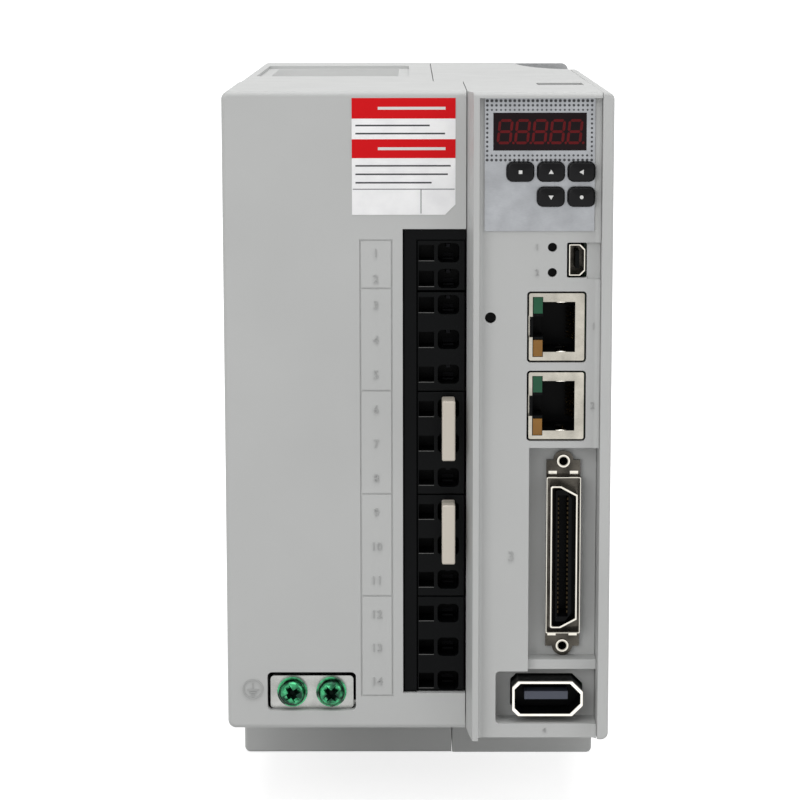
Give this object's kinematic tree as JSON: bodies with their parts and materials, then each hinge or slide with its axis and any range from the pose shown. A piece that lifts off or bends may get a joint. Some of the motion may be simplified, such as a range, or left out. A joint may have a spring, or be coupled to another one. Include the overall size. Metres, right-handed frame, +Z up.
{
  "type": "servo drive",
  "caption": "Upright panel-mounted servo drive: grey power cover, black plug-in terminals, keypad with display, and connectors on a slim control section.",
  "frame": {"origin": "centre of the overall box at the base", "axes": "+Z up, -Y towards the front with the terminals, +X to the right seen from the front"},
  "size_m": [0.097, 0.1994, 0.1855],
  "materials": {
    "case_plastic": "fine satin moulding",
    "cast_metal": "die cast, lightly blasted",
    "overlay_film": "printed silver film",
    "smoked_window": "smoked, glossy",
    "display_face": "segment display",
    "key_plastic": "black, glossy",
    "soft_rubber": "silicone",
    "circuit_board": "solder mask",
    "lamp_lens": "unlit lens",
    "connector_black": "black moulding",
    "fan_plastic": "black moulding",
    "plated_shield": "nickel plated",
    "bright_shell": "bright plated",
    "contact_metal": "plated contact alloy",
    "clamp_steel": "dark spring steel",
    "jumper_cream": "cream moulding",
    "green_passivated": "green passivated zinc, glossy",
    "earth_plate": "tinned steel",
    "label_film": "printed film",
    "capacitor_sleeve": "shrunk sleeve",
    "ferrite": "coated ring core",
    "relay_case": "moulded case",
    "module_case": "moulded case",
    "zinc_steel": "zinc plated",
    "light_pipe_green": "tinted light pipe",
    "light_pipe_amber": "tinted light pipe"
  },
  "bodies": {
    "housing": {"activity_light_pipes": "light_pipe_amber", "back_plate": "cast_metal", "board_screws": "zinc_steel", "bus_capacitors": "capacitor_sleeve", "case_screws": "zinc_steel", "control_board": "circuit_board", "control_cover": "case_plastic", "display_board": "circuit_board", "display_module": "display_face", "display_window": "smoked_window", "earth_bracket": "earth_plate", "earth_screws": "green_passivated", "earth_washers": "green_passivated", "ethernet_contacts": "contact_metal", "ethernet_inserts": "connector_black", "ethernet_shields": "plated_shield", "fan_frame": "fan_plastic", "fan_guard": "zinc_steel", "feedback_insulator": "connector_black", "feedback_shell": "bright_shell", "filter_choke": "ferrite", "front_label": "label_film", "header_pins": "contact_metal", "heat_sink": "cast_metal", "indicator_leds": "lamp_lens", "io_insulator": "connector_black", "io_jack_nuts": "plated_shield", "io_shell": "plated_shield", "keypad_mat": "soft_rubber", "keypad_overlay": "overlay_film", "left_case": "case_plastic", "link_light_pipes": "light_pipe_green", "power_board": "circuit_board", "power_cover": "case_plastic", "power_module": "module_case", "relays": "relay_case", "right_case": "case_plastic", "side_cover": "case_plastic", "sto_header": "connector_black", "terminal_header": "connector_black", "usb_shell": "plated_shield", "usb_tongue": "connector_black"},
    "key_mode": {"key_mode": "key_plastic"},
    "key_up": {"key_up": "key_plastic"},
    "key_shift": {"key_shift": "key_plastic"},
    "key_down": {"key_down": "key_plastic"},
    "key_set": {"key_set": "key_plastic"},
    "plug_supply": {"plug_supply": "connector_black", "clamps_supply": "clamp_steel"},
    "plug_mains": {"plug_mains": "connector_black", "clamps_mains": "clamp_steel"},
    "plug_shunt": {"plug_shunt": "connector_black", "clamps_shunt": "clamp_steel"},
    "plug_bus": {"plug_bus": "connector_black", "clamps_bus": "clamp_steel"},
    "plug_motor": {"plug_motor": "connector_black", "clamps_motor": "clamp_steel"},
    "jumper_upper": {"jumper_upper": "jumper_cream"},
    "jumper_lower": {"jumper_lower": "jumper_cream"},
    "fan": {"fan_rotor": "fan_plastic"}
  },
  "joints": [
    {"name": "key_mode_press", "type": "slide", "parent": "housing", "child": "key_mode", "axis": [0, 1, 0], "range_m": [0, 0.0008], "stiffness_N_per_m": 1500},
    {"name": "key_up_press", "type": "slide", "parent": "housing", "child": "key_up", "axis": [0, 1, 0], "range_m": [0, 0.0008], "stiffness_N_per_m": 1500},
    {"name": "key_shift_press", "type": "slide", "parent": "housing", "child": "key_shift", "axis": [0, 1, 0], "range_m": [0, 0.0008], "stiffness_N_per_m": 1500},
    {"name": "key_down_press", "type": "slide", "parent": "housing", "child": "key_down", "axis": [0, 1, 0], "range_m": [0, 0.0008], "stiffness_N_per_m": 1500},
    {"name": "key_set_press", "type": "slide", "parent": "housing", "child": "key_set", "axis": [0, 1, 0], "range_m": [0, 0.0008], "stiffness_N_per_m": 1500},
    {"name": "plug_supply_pull", "type": "slide", "parent": "housing", "child": "plug_supply", "axis": [0, -1, 0], "range_m": [0, 0.02]},
    {"name": "plug_mains_pull", "type": "slide", "parent": "housing", "child": "plug_mains", "axis": [0, -1, 0], "range_m": [0, 0.02]},
    {"name": "plug_shunt_pull", "type": "slide", "parent": "housing", "child": "plug_shunt", "axis": [0, -1, 0], "range_m": [0, 0.02]},
    {"name": "plug_bus_pull", "type": "slide", "parent": "housing", "child": "plug_bus", "axis": [0, -1, 0], "range_m": [0, 0.02]},
    {"name": "plug_motor_pull", "type": "slide", "parent": "housing", "child": "plug_motor", "axis": [0, -1, 0], "range_m": [0, 0.02]},
    {"name": "jumper_upper_pull", "type": "slide", "parent": "plug_shunt", "child": "jumper_upper", "axis": [0, -1, 0], "range_m": [0, 0.012]},
    {"name": "jumper_lower_pull", "type": "slide", "parent": "plug_bus", "child": "jumper_lower", "axis": [0, -1, 0], "range_m": [0, 0.012]},
    {"name": "fan_spin", "type": "hinge", "parent": "housing", "child": "fan", "pos_m": [0.0279, 0.07325, 0.009], "axis": [0, 0, 1], "continuous": true}
  ]
}
